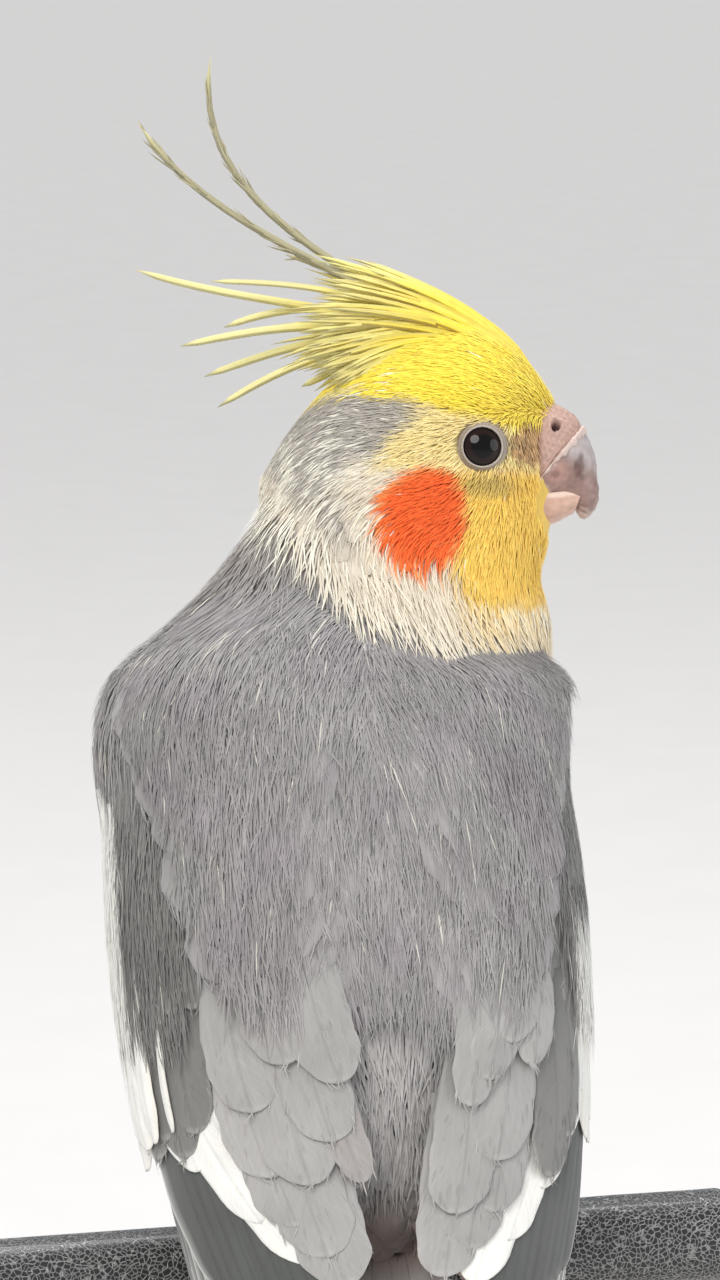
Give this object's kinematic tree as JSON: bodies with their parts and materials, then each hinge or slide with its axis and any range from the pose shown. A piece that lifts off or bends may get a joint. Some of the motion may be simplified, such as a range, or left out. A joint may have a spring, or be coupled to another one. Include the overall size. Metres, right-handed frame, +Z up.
{
  "type": "cockatiel figure",
  "caption": "Life-size crested parrot in grey and yellow plumage, gripping a short round perch on a round display stand and looking over its shoulder.",
  "frame": {"origin": "centre of the perch's length on the underside of the stand's base, 12 mm in front of the base's own centre, below the bird's middle", "axes": "+Z up, +Y the way the bird's breast faces, +X to the bird's right, where it looks"},
  "size_m": [0.128, 0.1331, 0.3185],
  "materials": {
    "feathers": "soft matt plumage, drawn as painted feathers",
    "yellow_feathers": "soft matt plumage, yellow face and crest",
    "horn": "satin horn, a little flaky at its edge",
    "cere_skin": "bare pinkish skin",
    "eye": "wet gloss",
    "foot_skin": "scaly bare skin",
    "claw": "satin horn",
    "bar_paint": "black and silver veined powder coat",
    "stand_wood": "satin varnish",
    "steel": "brushed"
  },
  "bodies": {
    "root": {"torso": "feathers", "neck": "feathers", "head": "yellow_feathers", "crest": "yellow_feathers", "cere": "cere_skin", "bill_upper": "horn", "bill_lower": "horn", "eye_right": "eye", "eye_left": "eye", "wing_right": "feathers", "wing_left": "feathers", "tail": "feathers", "leg_right": "foot_skin", "leg_left": "foot_skin", "perch": "bar_paint", "stand_base": "stand_wood", "stand_rod": "steel", "claw_right_inner_front": "claw", "claw_right_outer_front": "claw", "claw_right_inner_back": "claw", "claw_right_outer_back": "claw", "claw_left_inner_front": "claw", "claw_left_outer_front": "claw", "claw_left_inner_back": "claw", "claw_left_outer_back": "claw"}
  },
  "joints": []
}
